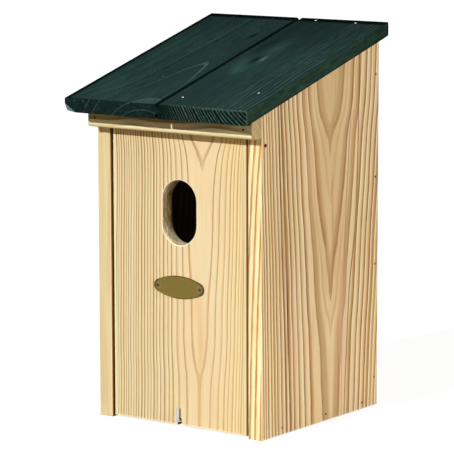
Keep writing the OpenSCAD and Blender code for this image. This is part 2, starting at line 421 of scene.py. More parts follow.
def bareWood(node, name, spec):
    material = startMaterial(name)
    board = Board(node, spec)
    yearRings(board, spec)
    sideways, share, lot = board.sideways, board.share, board.lot
    otherLot = chance(board.ring, spec["seed"] * 9.1 + 50)
    start = spec["earlyShare"] + (lot - 0.5) * 0.3
    if "thinOver" in spec:
        # thin lines over the heart, where the rings lie flat
        thin = sideways.fade(spec["thinOver"])
        start = start + thin * (spec["thinTo"] - spec["earlyShare"])
    late = share.step(start, start + (1 - start) * spec["lateRamp"]) * share.step(1.0, 0.95)
    late = late * (spec["faintest"] + (1 - spec["faintest"]) * otherLot)
    edge = share.step(0.76, 0.92) * share.step(1.0, 0.96) * (0.3 + 0.7 * lot)
    if "faintOver" in spec:
        near = sideways.fade(spec["faintOver"])
        late = late * (1 - near * spec["faintBy"])
        edge = edge * (1 - near * spec["faintEdges"])

    fibre = board.grain(0.45, 14, 3, 0.6, shift=2.2)
    streak = board.grain(1.8, 70, 3, 0.6, shift=6.1)
    cloud = board.grain(26, 120, 2, shift=4.4)
    otherCloud = board.grain(18, 70, 1, shift=7.7)
    colours = spec["colours"]
    early = blend((cloud * 2.4 + 0.5).clip(), colours["early"], colours["earlyWarm"])
    lateTone = blend((otherCloud * 2.6 + lot * 0.6 + 0.2).clip(), colours["late"], colours["latePink"])
    if "core" in spec:
        # over the heart the face runs along one ring for long, so its tan shows through
        core = spec["core"]
        over = sideways.size().step(core["width"], core["width"] * 0.3)
        over = over * board.along.step(core["from"], core["to"])
        early = blend(over * core["amount"], early, core["colour"])
    strength = 1 + streak * 0.4
    for patch in spec["patches"]:
        strength = strength + spot(board, patch) * patch["more"]
    fresh = share.step(0.0, 0.04) * share.step(spec["freshShare"], 0.06) * sideways.size().step(16, 42)
    early = blend(fresh * spec["fresh"], early, colours["fresh"])
    if "subRings" in spec:
        # thin weak lines between the year rings
        fine = board.count * spec["subRings"]
        fineShare = fine - fine.floor()
        fineLot = chance(fine.floor(), spec["seed"] * 5.3 + 20)
        weak = fineShare.step(0.4, 0.85) * fineShare.step(1.0, 0.9) * fineLot.step(0.35, 0.9)
        early = blend(weak * 0.55, early, colours["thread"])
    thread = board.grain(0.9, 110, 2, 0.6, shift=19.0).step(0.13, 0.2) * (1 - late)
    early = blend(thread * spec["threads"], early, colours["thread"])
    colour = blend(late * strength * spec["contrast"], early, lateTone)
    colour = blend((edge * strength * spec["lineStrength"]).clip(), colour, colours["line"])
    for resin in spec.get("resinLines", ()):
        where = resinLine(board, resin) * (0.85 + streak * 0.8)
        colour = blend((where * resin["amount"]).clip(), colour, resin["colour"])
    for mark in spec.get("marks", ()):
        where = spot(board, mark) * (0.8 + streak * 1.5)
        colour = blend((where * mark["amount"]).clip(), colour, mark["colour"])
    pores = board.grain(0.32, 3.2, 1, shift=9.3).step(0.21, 0.3) * late
    colour = blend(pores * 0.3, colour, colours["line"])
    tone = 1 + fibre * 0.12 + streak * 0.2 + cloud * 0.06
    ends = board.sawnEnd()
    tone = tone * (1 - ends * 0.2)
    if "roughBack" in spec:
        # the face towards the nest room is darkened, partly as if rough from the saw and partly as painted
        # shade that keeps the nest room dark
        backShade = board.into.step(spec["roughBack"] - 0.3, spec["roughBack"] - 0.1)
        tone = tone * (1 - backShade * 0.55)
    # painted highlight: the board's edges are blended towards the pale arris colour
    arris = board.arris(spec.get("arrisWidth", 1.1)) * (1 - ends)
    colour = blend(arris * spec.get("arris", 0.5), colour, colours["arris"])
    height = late * 0.6 + edge * 0.3 + fibre * 0.9
    for extra in spec["extras"]:
        colour, tone = extra(board, colour, tone)
    colour = shade(colour, tone)
    roughness = bareFinish["roughness"] - late * 0.1 + fibre * 0.1
    finishMaterial(colour, roughness, height, bareFinish["relief"], bareFinish["gloss"])
    return material


def orangeVein(board, colour, tone):
    # the innermost ring on the face is a soft orange line, wider near the foot
    vein = (board.count - firstRing + 0.1).size().step(0.12, 0.04)
    vein = vein * board.sideways.size().step(24, 14) * board.along.step(205, 190) * board.along.step(40, 52)
    broken = (board.grain(2, 45, 2, shift=14.0) * 2.5 + 0.6).clip()
    return blend(vein * (broken * 0.35 + 0.15), colour, paint(226, 172, 110)), tone


def leftShade(board, colour, tone):
    # the board's left half is a little duller and more olive, and its right edge is yellower
    dull = board.across.step(12, -30)
    colour = blend(board.across.step(28, 58) * 0.22, colour, paint(252, 214, 120))
    return blend(dull * 0.08, colour, paint(190, 168, 110)), tone * (0.89 - dull * 0.05)


def paintedGapShadeAndEdgeHighlight(board, colour, tone):
    # painted shade and painted highlight: a dark brown line painted along the panel's right edge stands for
    # the shaded gap beside the right wall, and pale lines painted just inside both edges are painted
    # highlights
    # painted shade: the brown line at the panel's right edge, for the shaded gap
    brown = board.across.step(60.3, 60.7)
    # painted highlight: pale lines just inside the panel's right and left edges
    bright = board.across.hump(59.6, 0.9).most(board.across.hump(-59.8, 1.3))
    colour = blend(bright * 0.8, colour, paint(255, 248, 200))
    return blend(brown * 0.9, colour, paint(158, 96, 24)), tone


def paintedNotchShade(board, colour, tone):
    # painted shade: the walls of the notch for the hook are painted dark brown, where shade falls under the
    # hook's bend
    notch = (board.across - hookMiddle).size().step(2.6, 2.2) * board.along.step(9, 7)
    return blend(notch * board.into.step(0.1, 0.5) * 0.9, colour, paint(72, 34, 12)), tone


def paintedGapShade(board, colour, tone):
    # painted shade: the walls' inner faces are painted a warm dark brown near their front edges, where the
    # gaps beside the panel's edges lie in shade
    inner = board.into.step(11.7, 11.9) * board.across.step(6, 2.5)
    return blend(inner * 0.9, colour, paint(190, 124, 46)), tone


def paleFoot(board, colour, tone):
    # the foot is a little paler than the top, and so is the part beside the front edge
    light = board.along.step(150, 40) * 0.1 + board.across.step(26, 4) * 0.08
    return colour, tone * (1 + light - board.along.step(190, 250) * 0.04)


def paintedRoofShadeAndEndRings(board, colour, tone):
    # painted shade: the batten's upper part, which lies in the roof's shadow, is painted duller and darker,
    # and its end faces show close slanting rings, darker towards the back
    onEnd = board.gaps[1].step(0.4, 0.2)
    # painted shade on the batten's upper part, under the roof
    dull = board.across.step(4.5, 9) * (1 - onEnd)
    slant = (board.into * 0.79 + board.across * 0.62 + board.grain(3, 3, 2, shift=41.0) * 1.4) / 1.75
    share = slant - slant.floor()
    lot = chance(slant.floor(), 77.0)
    stripe = share.step(0.3, 0.7) * share.step(1.0, 0.85) * (lot * 0.7 + 0.3)
    endTone = blend(stripe * 0.9, paint(232, 204, 150), paint(146, 102, 48))
    back = board.into.step(board.high[2] - 0.9, board.high[2] - 0.4)
    endTone = blend(back * 0.7, endTone, paint(120, 80, 34))
    colour = blend(dull * 0.35, colour, paint(166, 140, 72))
    return blend(onEnd * 0.95, colour, endTone), tone * (1 - dull * 0.24)


def entranceWithPaintedLight(board, colour, tone):
    # the rim of the entrance is painted pale as a painted highlight, stronger on the right, and the upper
    # part of its wall is painted paler as painted light; the wall is darker, with torn fibres
    up = board.along - entrance["height"]
    above = up.size() - (entrance["high"] - entrance["wide"]) / 2
    place = vector(board.across, above.most(0), 0)
    gap = Wire.node("VectorMath", {"operation": "LENGTH"}, {0: place}, "Value") - entrance["wide"] / 2
    # painted highlight round the rim, stronger on the right
    rim = gap.step(1.0, 0.5) * gap.step(-1.3, -0.5) * (board.across.step(-15, 2) * 0.5 + 0.5)
    inside = gap.step(0.15, 0.0) * board.into.step(0.3, 0.8)
    scored = noise(vector(board.across / 7, board.along / 9, board.into / 1.1), 2, 0.7) - 0.5
    torn = noise(vector(board.across / 1.3, board.along / 2.2, board.into / 0.8), 2, 0.7) - 0.5
    low = up.step(-6, -20)
    # painted light: the wall above the middle of the entrance is made paler
    high = up.step(8, 20)
    pale = (scored * 3.2 + torn * 2.4 + low * 0.85 + high * 0.6).clip()
    wall = blend(pale, entrance["wall"], entrance["torn"])
    colour = blend(rim * (1 - inside), colour, entrance["rim"])
    colour = blend(inside * 0.8, colour, wall)
    return colour, tone * (1 + inside * scored * 1.6)


def bandedStrip(board, colour, tone):
    # the right wall's front edge, where the wide rings stand out orange on pale yellow
    strip = board.across.step(0.35, 0.15)
    wobble = board.grain(5, 22, 2, 0.6, shift=31.0) * 1.6
    lean = drawn(board.along, edgeBands["lean"])
    share = (board.into + wobble - lean) / edgeBands["spacing"] + 0.5
    share = share - share.floor()
    orange = share.step(0.2, 0.42) * share.step(0.74, 0.6)
    lot = (board.grain(3, 40, 2, shift=37.0) * 2 + 0.7).clip()
    cream = (board.grain(4, 50, 1, shift=35.0) * 3 + 0.4).clip()
    banded = blend(cream, edgeBands["cream"], edgeBands["yellow"])
    banded = blend(orange * (0.65 + 0.35 * lot), banded, edgeBands["orange"])
    banded = blend(share.hump(0.56, 0.09) * lot * 0.7, banded, edgeBands["line"])
    return blend(strip * 0.95, colour, banded), tone


def plainStrip(board, colour, tone):
    # the left wall's front edge is nearly without lines
    strip = board.across.step(0.35, 0.15)
    cloud = board.grain(5, 90, 2, shift=31.0)
    smooth = blend((cloud * 4 + 0.5).clip(), paint(219, 202, 158), paint(207, 187, 142))
    return blend(strip * 0.85, colour, smooth), tone


edgeBands = {
    # mm from the wall's outer face to the middle of one band, from the foot up
    "lean": [(0, 10.5), (80, 8.5), (150, 5.5), (180, 4), (240, -2)],
    "spacing": 4.7,
    **palette(cream=(247, 230, 182), yellow=(233, 206, 146), orange=(184, 134, 74), line=(142, 90, 36)),
}

hookMiddle = -0.3   # across from the middle

entrance = {
    "wide": 31.2, "high": 48.2,
    "height": (frame["record"]["physics"]["openings"][0]["box_m"][0][2]
               + frame["record"]["physics"]["openings"][0]["box_m"][1][2]) / 2 / mm - panelLow.z,
    # rim is the colour of the painted highlight round the entrance
    **palette(rim=(255, 252, 226), wall=(152, 131, 84), torn=(250, 236, 196)),
}

frontPanelWood = {
    "corner": (0, panelLow.y, panelLow.z), "across": (1, 0, 0), "along": (0, 0, 1), "into": (0, 1, 0),
    "seed": 3.0,
    "heart": 17.5, "lean": 0.022, "depth": 60,
    "rise": [(0, -0.6), (38, -0.4), (45, -0.15), (68, 0.27), (95, 0.36), (128, 0.89), (185, 1.27), (195, 1.5),
             (199, 1.62), (215, 2.9), (240, 5.0)],
    "dent": 0.55, "dentReach": 6,
    "ringStart": 60, "ringWidth": 1.8, "unevenRings": 0.8,
    "wander": 1.5, "swell": 0.2, "ripple": 0.3, "fray": 0.12,
    "tighten": [(-60, 0), (38, 0), (60, 5.2)],
    "earlyShare": 0.46, "faintest": 0.35, "contrast": 1.2, "lineStrength": 1.0, "lateRamp": 0.7,
    "thinOver": 16, "thinTo": 0.84, "faintOver": 14, "faintBy": 0.7, "faintEdges": 0.7,
    "roughBack": 12, "arris": 0.9,
    "fresh": 0.8, "freshShare": 0.44, "threads": 0.25, "arrisWidth": 1.6,
    "patches": [
        oval(-40, 60, 34, 70, more=-0.15),
        oval(45, 40, 30, 70, more=-0.35),
    ],
    "marks": [
        oval(18.3, 14, 2.0, 34, amount=0.6, colour=paint(224, 172, 104)),
        oval(19.6, 66, 2.8, 18, amount=0.6, colour=paint(226, 174, 112)),
        oval(17.5, 93, 4.2, 15, amount=0.5, colour=paint(228, 182, 118)),
        oval(26, 70, 3, 60, amount=0.3, colour=paint(238, 204, 166)),
        oval(10.5, 80, 2.5, 60, amount=0.3, colour=paint(238, 204, 166)),
    ],
    "extras": [orangeVein, leftShade, entranceWithPaintedLight, paintedGapShadeAndEdgeHighlight, paintedNotchShade],
    "colours": palette(
        early=(242, 222, 178), earlyWarm=(239, 211, 162), fresh=(255, 240, 196), thread=(220, 184, 126),
        late=(174, 142, 84), latePink=(194, 152, 98), line=(134, 96, 50), arris=(255, 248, 206),
    ),
}

rightWallWood = {
    "corner": (wallHigh.x, wallLow.y, 0), "across": (0, 1, 0), "along": (0, 0, 1), "into": (-1, 0, 0),
    "seed": 7.0,
    "heart": 90.2, "lean": -0.013, "depth": 87.4,
    "rise": [(0, 0.3), (30, 0.63), (67, 1.2), (91, 2.07), (115, 2.55), (137, 3.2), (170, 4.5),
             (212, 5.65), (217, 5.93), (245, 7.5), (285, 8.1)],
    "flare": 0.0, "flareRight": 0.0009, "flareFrom": 100,
    "dent": 0.8, "dentReach": 6,
    "ringStart": 85, "ringWidth": 3.05, "unevenRings": 0.5,
    "wander": 2, "swell": 0.3, "ripple": 0.5, "fray": 0.14,
    "tighten": [(0, 4), (4, 3.2), (14, 1), (19, 0.5), (24, 0), (153, 0)],
    "earlyShare": 0.34, "faintest": 0.45, "contrast": 0.95, "lineStrength": 0.75, "lateRamp": 0.5,
    "thinOver": 10, "thinTo": 0.6, "faintOver": 20, "faintBy": 0.05, "faintEdges": 0.75,
    "fresh": 0.75, "freshShare": 0.4, "threads": 0.7, "subRings": 3,
    "patches": [
        oval(0, 110, 36, 300, more=0.8),
        oval(153, 60, 26, 160, more=0.5),
    ],
    "resinLines": [
        {"path": [(0, 31.5), (60, 29.5), (140, 25), (285, 19)],
         "heartward": 1, "width": 2.0, "amount": 1.0, "colour": paint(122, 72, 36)},
        {"path": [(0, 36), (70, 33), (140, 29), (285, 21)],
         "heartward": 1, "width": 2.6, "amount": 0.9, "colour": paint(128, 76, 40)},
        {"path": [(0, 108), (85, 113.5), (170, 124), (285, 127)],
         "heartward": -1, "width": 2.0, "amount": 0.95, "colour": paint(128, 78, 42)},
        {"path": [(0, 104), (90, 106), (285, 122)],
         "heartward": -1, "width": 1.6, "amount": 0.6, "colour": paint(140, 98, 54)},
    ],
    "marks": [
        oval(33.0, 84, 0.8, 28, amount=1.0, colour=paint(88, 52, 24)),
        oval(44, 70, 7, 60, amount=0.35, colour=paint(236, 196, 168)),
        oval(104, 60, 6, 70, amount=0.35, colour=paint(236, 196, 168)),
        oval(62, 200, 5, 50, amount=0.3, colour=paint(232, 190, 160)),
        oval(86, 150, 3, 40, amount=0.5, colour=paint(238, 210, 156)),
        oval(90.5, 172, 0.9, 14, amount=0.6, colour=paint(176, 122, 78)),
        oval(91.5, 148, 0.8, 14, amount=0.6, colour=paint(176, 122, 78)),
        oval(93.2, 125, 0.9, 12, amount=0.5, colour=paint(176, 122, 78)),
        oval(99.5, 28, 0.9, 32, amount=0.7, colour=paint(150, 98, 60)),
    ],
    "core": {"width": 24, "from": 60, "to": 120, "amount": 0.6, "colour": paint(214, 182, 132)},
    "extras": [paleFoot, bandedStrip, paintedGapShade], "roughBack": 12,
    "colours": palette(
        early=(235, 211, 164), earlyWarm=(228, 195, 148), fresh=(255, 242, 202), thread=(200, 154, 106),
        late=(180, 144, 88), latePink=(194, 146, 98), line=(108, 74, 34), arris=(252, 232, 182),
    ),
}

unmarkedWood = dict(rightWallWood, patches=[], marks=[], resinLines=[])

leftWallWood = {
    **unmarkedWood,
    "corner": (leftLow.x, leftLow.y, 0), "into": (1, 0, 0), "seed": 15.0,
    "heart": 64, "lean": 0.025, "depth": 80, "flare": 0.0005, "flareRight": 0.0005,
    "rise": [(0, 0), (70, 1.8), (150, 3.2), (215, 5.9), (285, 8.4)], "tighten": [(0, 2), (40, 0), (153, 1)],
    "ringStart": 78, "ringWidth": 2.7, "contrast": 0.85, "lineStrength": 0.5,
    "extras": [plainStrip, paintedGapShade],
    "colours": palette(
        early=(232, 214, 160), earlyWarm=(228, 204, 146), fresh=(240, 222, 168), thread=(206, 168, 112),
        late=(206, 176, 118), latePink=(208, 172, 120), line=(158, 114, 62), arris=(240, 222, 172),
    ),
}

backWallWood = {
    **unmarkedWood,
    "corner": (0, backHigh.y, 0), "across": (1, 0, 0), "into": (0, -1, 0), "seed": 21.0,
    "heart": -12, "lean": 0.05, "depth": 66, "rise": [(0, 0), (142, 1.4), (285, 5)],
    "tighten": [(-63, 3), (0, 0), (63, 2)],
    "ringStart": 64, "ringWidth": 2.5, "contrast": 0.8, "extras": [],
}

floorWood = {
    **unmarkedWood,
    "corner": (floorLow.x, 0, floorLow.z), "across": (0, 1, 0), "along": (1, 0, 0), "into": (0, 0, 1),
    "seed": 27.0,
    "heart": 4, "lean": 0.02, "depth": 50, "rise": [(0, 0), (285, 2)],
    "ringStart": 50, "ringWidth": 2.4, "contrast": 0.75, "extras": [],
}

battenWood = {
    "corner": tuple(battenLow), "across": (0, 0, 1), "along": (1, 0, 0), "into": (0, 1, 0), "seed": 33.0,
    "heart": 70, "lean": 0.02, "depth": -128,
    "ringStart": 148, "ringWidth": 2.4, "unevenRings": 0.9,
    "wander": 10, "swell": 7, "ripple": 0.7, "fray": 0.15, "extras": [paintedRoofShadeAndEndRings],
    "earlyShare": 0.4, "faintest": 0.3, "contrast": 1.1, "lineStrength": 0.85, "lateRamp": 0.7,
    "fresh": 0.6, "freshShare": 0.4, "threads": 0.3,
    "patches": [
        oval(0, 75, 6, 400, more=-0.85),
        oval(16, 75, 8, 400, more=0.6),
    ],
    "colours": palette(
        early=(255, 248, 200), earlyWarm=(255, 236, 184), fresh=(255, 252, 214), thread=(190, 146, 80),
        late=(190, 146, 76), latePink=(206, 154, 86), line=(98, 60, 20), arris=(255, 255, 230),
    ),
}

bareBoards = {
    "front_panel": ("frontPanelWood", frontPanelWood),
    "side_wall_right": ("rightWallWood", rightWallWood),
    "side_wall_left": ("leftWallWood", leftWallWood),
    "back_wall": ("backWallWood", backWallWood),
    "floor_board": ("floorWood", floorWood),
    "front_batten": ("battenWood", battenWood),
}
for node, (name, spec) in bareBoards.items():
    dress(nodes[node], bareWood(node, name, spec))
print("bare boards dressed")


# ---- roof: the same rings under a dark green stain

roof = {
    "pitch": 15.8,           # degrees, falling towards the front
    "thickness": 10.1,
    "seam": 2.1,             # where the two boards meet, to the right of the middle
    "groove": 2.3,           # half its width
    "roughness": 0.8,
    "relief": 0.06,          # mm
    "gloss": 0.0,
    **palette(
        stain=(38, 60, 57), bluish=(39, 57, 61), greenish=(39, 66, 58), lighter=(56, 84, 77),
        greyed=(98, 126, 117), endPale=(104, 130, 120), dark=(4, 9, 8), worn=(128, 150, 144),
        edge=(44, 69, 61), edgeOlive=(50, 72, 53), rust=(84, 54, 40),
    ),
}
pitch = math.radians(roof["pitch"])
chip = {"side": -83, "across": 10, "back": 3.2, "up": 6.2}   # the split corner at the left foot


def stainedWood(node, name, spec):
    material = startMaterial(name)
    board = Board(node, spec)
    yearRings(board, spec)
    share = board.share
    late = share.step(0.35, 0.9) * share.step(1.0, 0.95)
    board.line = share.step(0.72, 0.88) * share.step(1.06, 0.97) * (0.2 + 0.8 * board.lot)
    fibre = board.grain(0.5, 12, 3, 0.6, shift=2.2)
    board.dashes = board.grain(0.55, 16, 2, 0.6, shift=16.2)
    cloud = board.grain(30, 70, 2, shift=4.4)
    otherCloud = board.grain(22, 50, 2, shift=11.7)
    onEnd = board.sawnEnd()
    onTop = board.onTop = board.into.step(0.3, 0.1)
    colour = blend((cloud * 3 + 0.5).clip(), roof["bluish"], roof["greenish"])
    colour = blend((otherCloud * 2 + 0.45).clip(), colour, roof["stain"])
    colour = blend(late * 0.22, colour, roof["dark"])
    for mark in spec["marks"]:
        where = spot(board, mark) * (0.8 + board.dashes * mark.get("frayed", 0.8)) * onTop
        colour = blend((where * mark["amount"]).clip(), colour, roof[mark["colour"]])
    colour = spec["lineFace"](board, colour)
    flecks = board.grain(0.7, 4, 1, shift=13.1).step(0.17, 0.25)
    flecks = flecks * (board.grain(25, 40, 1, shift=17.0) * 3 + 0.3).clip()
    colour = blend(flecks * spec["flecks"] * onTop, colour, roof["greyed"])
    blotch = noise(vector(board.across / 5, board.into / 4, board.toEnd / 9), 2) - 0.5
    colour = blend(onEnd * 0.85, colour, shade(spec["endDark"], 1 + blotch * 2.2))
    colour = blend(onEnd * spec["lineEnd"](board), colour, roof["endPale"])
    back = board.toEnd.step(board.high[1] - 9, board.high[1] - 4.5)
    rims = back.most(board.across.step(board.low[0] + 6.5, board.low[0] + 3.0) * spec["darkSide"])
    colour = blend(rims * onTop * 0.9, colour, roof["dark"])
    arris = board.arris(0.9) * (1 - onEnd)
    colour = blend(arris * spec["darkArris"], colour, roof["dark"])
    groove = (board.across - roof["seam"]).size().step(roof["groove"] + 0.2, roof["groove"] - 0.6)
    colour = blend(groove * (1 - onEnd) * 0.85, colour, roof["dark"])
    for extra in spec["extras"]:
        colour = extra(board, colour)
    far = board.along.step(70, 175)
    grained = board.grain(1.1, 30, 2, 0.6, shift=33.0)
    tone = (spec["tone"] + fibre * 0.8 + grained * 0.8 + cloud * 0.45) * (1 - far * spec["darkerBack"])
    colour = shade(colour, tone)
    height = late * 0.5 + board.line * 0.4 + fibre
    roughness = roof["roughness"] - late * 0.1 + fibre * 0.15
    finishMaterial(colour, roughness, height, roof["relief"], roof["gloss"])
    return material


def thinLine(gap, width):
    return gap.size().step(width, width * 0.35)


def leftFaceLines(board, colour):
    # one long pointed loop, the next ring outside it, a pale tongue at its foot and faint grain
    onTop, dashes = board.onTop, board.dashes
    beyond = board.count - firstRing
    broken = (dashes * 2.2 + 0.75).clip()
    before = board.along.step(92, 84)
    inside = beyond.step(0.01, -0.03) * before
    colour = blend(inside * 0.18 * onTop, colour, roof["lighter"])
    bright = board.along.step(30, 82) * board.across.step(-20, -10)
    loop = thinLine(beyond, 0.02) * before
    colour = blend(loop * broken * (bright * 0.3 + 0.35) * onTop, colour, roof["greyed"])
    outer = board.across.step(-20, -26)
    colour = blend(thinLine(beyond - 1.06, 0.035) * outer * 0.5 * onTop, colour, roof["dark"])
    colour = blend(thinLine(beyond - 1, 0.03) * outer * broken * 0.55 * onTop, colour, roof["greyed"])
    weak = ((1.8, 0.05), (2.5, 0.05), (0.6, 0.04))
    faint = strongest([thinLine(beyond - ring, width) for ring, width in weak])
    colour = blend(faint * outer * broken * 0.25 * onTop, colour, roof["lighter"])
    bent = board.across + 9.5 - board.along * 0.25
    tongue = 1 - (bent / 12.5) ** 2 - ((board.along + 2) / 14) ** 2
    rimmed = tongue.step(0.0, 0.12) * (tongue.step(0.5, 0.1) * 0.2 + 0.22)
    colour = blend(rimmed * (dashes * 1.6 + 0.9) * onTop, colour, roof["greyed"])
    short = board.grain(1.0, 5, 2, 0.6, shift=23.0).step(0.1, 0.2) * board.across.hump(-46, 26)
    return blend(short * 0.3 * onTop, colour, roof["greyed"])


def leftEndLines(board):
    # rings round a heart that lies under the board, and pale specks in the left corner
    def gapTo(across, deep):
        return ((board.across - across) ** 2 + (board.into - deep) ** 2).root()

    fromHeart = gapTo(-10.5, 39.1) + board.dashes * 0.6
    arcs = strongest([thinLine(fromHeart - radius, 0.38) for radius in (34.6, 40.7, 55.4, 62.6)])
    broken = (noise(vector(board.across / 1.6, board.into / 1.6, 3.0), 2) * 3 - 1.0).clip()
    places = ((-74, 1.5), (-66, 1.4), (-63.2, 5))
    specks = strongest([gapTo(across, deep).step(1.2, 0.4) for across, deep in places])
    return (arcs * broken * 0.5).most(specks * broken * 0.6)


def rightFaceLines(board, colour):
    # fine pale grain towards the outer edge, broken along its length
    outer = board.across.step(30, 60)
    broken = (board.dashes * 3.2 + 0.5).clip()
    onTop = board.onTop
    colour = blend(board.line * outer * broken * 0.7 * onTop, colour, roof["greyed"])
    dark = board.grain(0.7, 10, 2, 0.6, shift=27.0).step(0.1, 0.22) * outer
    colour = blend(dark * 0.4 * onTop, colour, roof["dark"])
    front = board.along.step(1.9, 0.7) * board.across.step(6, 20)
    chips = noise(vector(board.across / 1.5, board.along / 4, 9.0), 2).step(0.46, 0.6)
    return blend(front * chips * 0.9 * onTop, colour, roof["greyed"])


def rightEndLines(board):
    # close stripes, steep at the seam and at half a right angle further out
    stripe = board.share.step(0.6, 0.8) * board.share.step(1.0, 0.9)
    broken = (noise(vector(board.across / 2.5, board.into / 2.5, 13.0), 2) * 2.2 - 0.4).clip()
    stripe = stripe * broken * board.across.step(3, 30) * 0.62
    # painted highlight: the end face's top edge and outer edge are painted pale
    rim = board.into.step(1.1, 0.5).most(board.across.step(board.high[0] - 1.6, board.high[0] - 0.8))
    return stripe.most(rim * board.across.step(20, 50) * 0.3)


def splitCorner(board, colour):
    foot = roof["thickness"] / math.cos(pitch)
    reach = (1 / chip["across"], 1 / chip["back"], 1 / chip["up"])
    gap = dot(board.inMm, reach) - chip["side"] / chip["across"] + foot / chip["up"]
    return blend(gap.step(1.05, 1.01), colour, roof["worn"])


def outerEdge(board, colour):
    # the long sawn edge is more olive, with rusty spots
    onEdge = board.across.step(board.high[0] - 0.3, board.high[0] - 0.1)
    spots = board.grain(3, 7, 2, shift=21.0).step(0.16, 0.27)
    olive = (board.grain(5, 22, 2, shift=25.0) * 4 + 0.4).clip()
    blotch = board.grain(2.2, 9, 2, 0.6, shift=29.0)
    mottled = blend(olive, roof["edge"], roof["edgeOlive"])
    mottled = shade(mottled, 1 + blotch * 1.8)
    colour = blend(onEdge * 0.9, colour, mottled)
    colour = blend(onEdge * spots * 0.45, colour, roof["rust"])
    foot = board.into.step(board.high[2] - 1.5, board.high[2] - 0.6)
    corner = board.toEnd.step(board.high[1] - 2, board.high[1] - 1.2)
    return blend(onEdge * foot.most(corner) * 0.8, colour, roof["dark"])


roofFront = (0, boxLow.y, boxHigh.z - (boxHigh.y - boxLow.y) * math.tan(pitch))
roofWays = {
    "corner": roofFront, "across": (1, 0, 0), "toEnd": (0, 1, 0),
    "along": (0, math.cos(pitch), math.sin(pitch)),
    "into": (0, math.sin(pitch), -math.cos(pitch)),
}

leftRoofWood = {
    **roofWays, "seed": 41.0,
    "heart": 0, "lean": 0.0, "depth": 57.2,
    "bow": [(0, -26), (14.5, -23.5), (39.5, -16), (82, -14.3), (190, -14)],
    "rise": [(0, 8.6), (14.5, 6.2), (39.5, 3.6), (59, 2.7), (82, 1.8), (148, 0.2), (190, 0)],
    "ringStart": 55.4, "ringWidth": 7.0, "unevenRings": 0.0,
    "wander": 0.8, "swell": 0.3, "ripple": 0.3, "fray": 0.12,
    "tone": 0.87, "darkerBack": 0.2, "darkSide": 1, "darkArris": 0.85, "endDark": paint(20, 35, 33),
    "flecks": 0.6,
    "marks": [
        oval(-12.4, 144.8, 2.6, 6, amount=1.2, colour="dark", frayed=0.3),
        oval(-17, 152, 5, 9, amount=0.35, colour="lighter"),
        oval(-8, 138, 4, 8, amount=0.3, colour="lighter"),
        oval(-60, 20, 18, 22, amount=0.2, colour="lighter"),
    ],
    "lineFace": leftFaceLines, "lineEnd": leftEndLines, "extras": [splitCorner],
}

rightRoofWood = {
    **roofWays, "seed": 53.0,
    "heart": 166, "lean": 0.0, "depth": -83,
    "ringStart": 150, "ringWidth": 2.2, "unevenRings": 0.9,
    "wander": 8, "swell": 3, "ripple": 0.4, "fray": 0.12,
    "tighten": [(0, 0), (56, 0), (70, 2), (83, 5)],
    "tone": 0.94, "darkerBack": 0.36, "darkSide": 0, "darkArris": 0.25, "endDark": paint(4, 18, 14),
    "flecks": 0.3,
    "hills": [oval(21, 98, 11, 24, push=-14)],
    "marks": [
        oval(26, 122, 6, 18, amount=0.75, colour="lighter", frayed=2),
        oval(16, 90, 5, 14, amount=0.6, colour="lighter", frayed=2),
        oval(22, 76, 5, 9, amount=0.7, colour="lighter", frayed=2),
        oval(23.2, 97, 3.2, 8, amount=1.0, colour="dark"),
        oval(28.5, 99, 1.4, 6, amount=0.8, colour="greyed"),
        oval(14, 128, 5, 24, amount=0.4, colour="dark"),
    ],
    "lineFace": rightFaceLines, "lineEnd": rightEndLines, "extras": [outerEdge],
}


stainedBoards = {
    "roof_board_left": ("leftRoofWood", leftRoofWood),
    "roof_board_right": ("rightRoofWood", rightRoofWood),
}
for node, (name, spec) in stainedBoards.items():
    dress(nodes[node], stainedWood(node, name, spec))
print("roof stained")


# ---- metal

def plainMetal(name, colour, roughness, metal):
    material = startMaterial(name)
    cloud = noise(inMillimetres((0, 0, 0), 0.9), 3) - 0.5
    finishMaterial(shade(colour, 1 + cloud * 0.4), roughness + cloud * 0.2, cloud, depth=0.01,
                   gloss=0.04, metal=metal)
    return material


# nailSteel is near black: steel, and on the brads also painted shade standing in for the sunk holes round
# their heads, which are not modelled
nailSteel = plainMetal("nailSteel", paint(20, 15, 12), 0.6, 0.1)
brightNail = plainMetal("brightNail", paint(190, 204, 196), 0.5, 0.3)
stainedNail = plainMetal("stainedNail", paint(24, 40, 37), 0.7, 0.1)
zincWire = plainMetal("zincWire", paint(196, 198, 206), 0.36, 0.6)
pinBrass = plainMetal("pinBrass", paint(84, 62, 34), 0.6, 0.2)
dress(nodes["pivot_nail_left"], nailSteel)
dress(nodes["pivot_nail_right"], nailSteel)
dress(nodes["latch_hook"], zincWire)


def dullBrass(name, spec):
    # flat brass, gone olive, darker round its rim and greyer by the pins
    material = startMaterial(name)
    inMm = inMillimetres((0, 0, (plateLow.z + plateHigh.z) / 2))
    across, up = (dot(inMm, way) for way in ((1, 0, 0), (0, 0, 1)))
    halfWide = (plateHigh.x - plateLow.x) / 2
    halfHigh = (plateHigh.z - plateLow.z) / 2
    outward = ((across / halfWide) ** 2 + (up / halfHigh) ** 2).root()
    scratches = noise(vector(across / 9, up / 0.6, 2.0), 3) - 0.5
    cloud = noise(vector(across / 6, up / 4, 7.0), 3) - 0.5
    colour = blend((cloud * 2.4 + 0.5).clip(), spec["olive"], spec["brown"])
    byPins = (across.size() - spec["pinSpan"] / 2).size().step(3.4, 1.6) * up.size().step(3.4, 1.8)
    colour = blend(byPins * 0.55, colour, spec["grey"])
    rim = outward.step(0.91, 0.98)
    colour = blend(rim * 0.85, colour, spec["rim"])
    tone = 1 + scratches * 0.3 + cloud * 0.2
    finishMaterial(shade(colour, tone), 0.5 + cloud * 0.2, scratches, depth=0.01, gloss=0.15,
                   metal=spec["metal"])
    return material


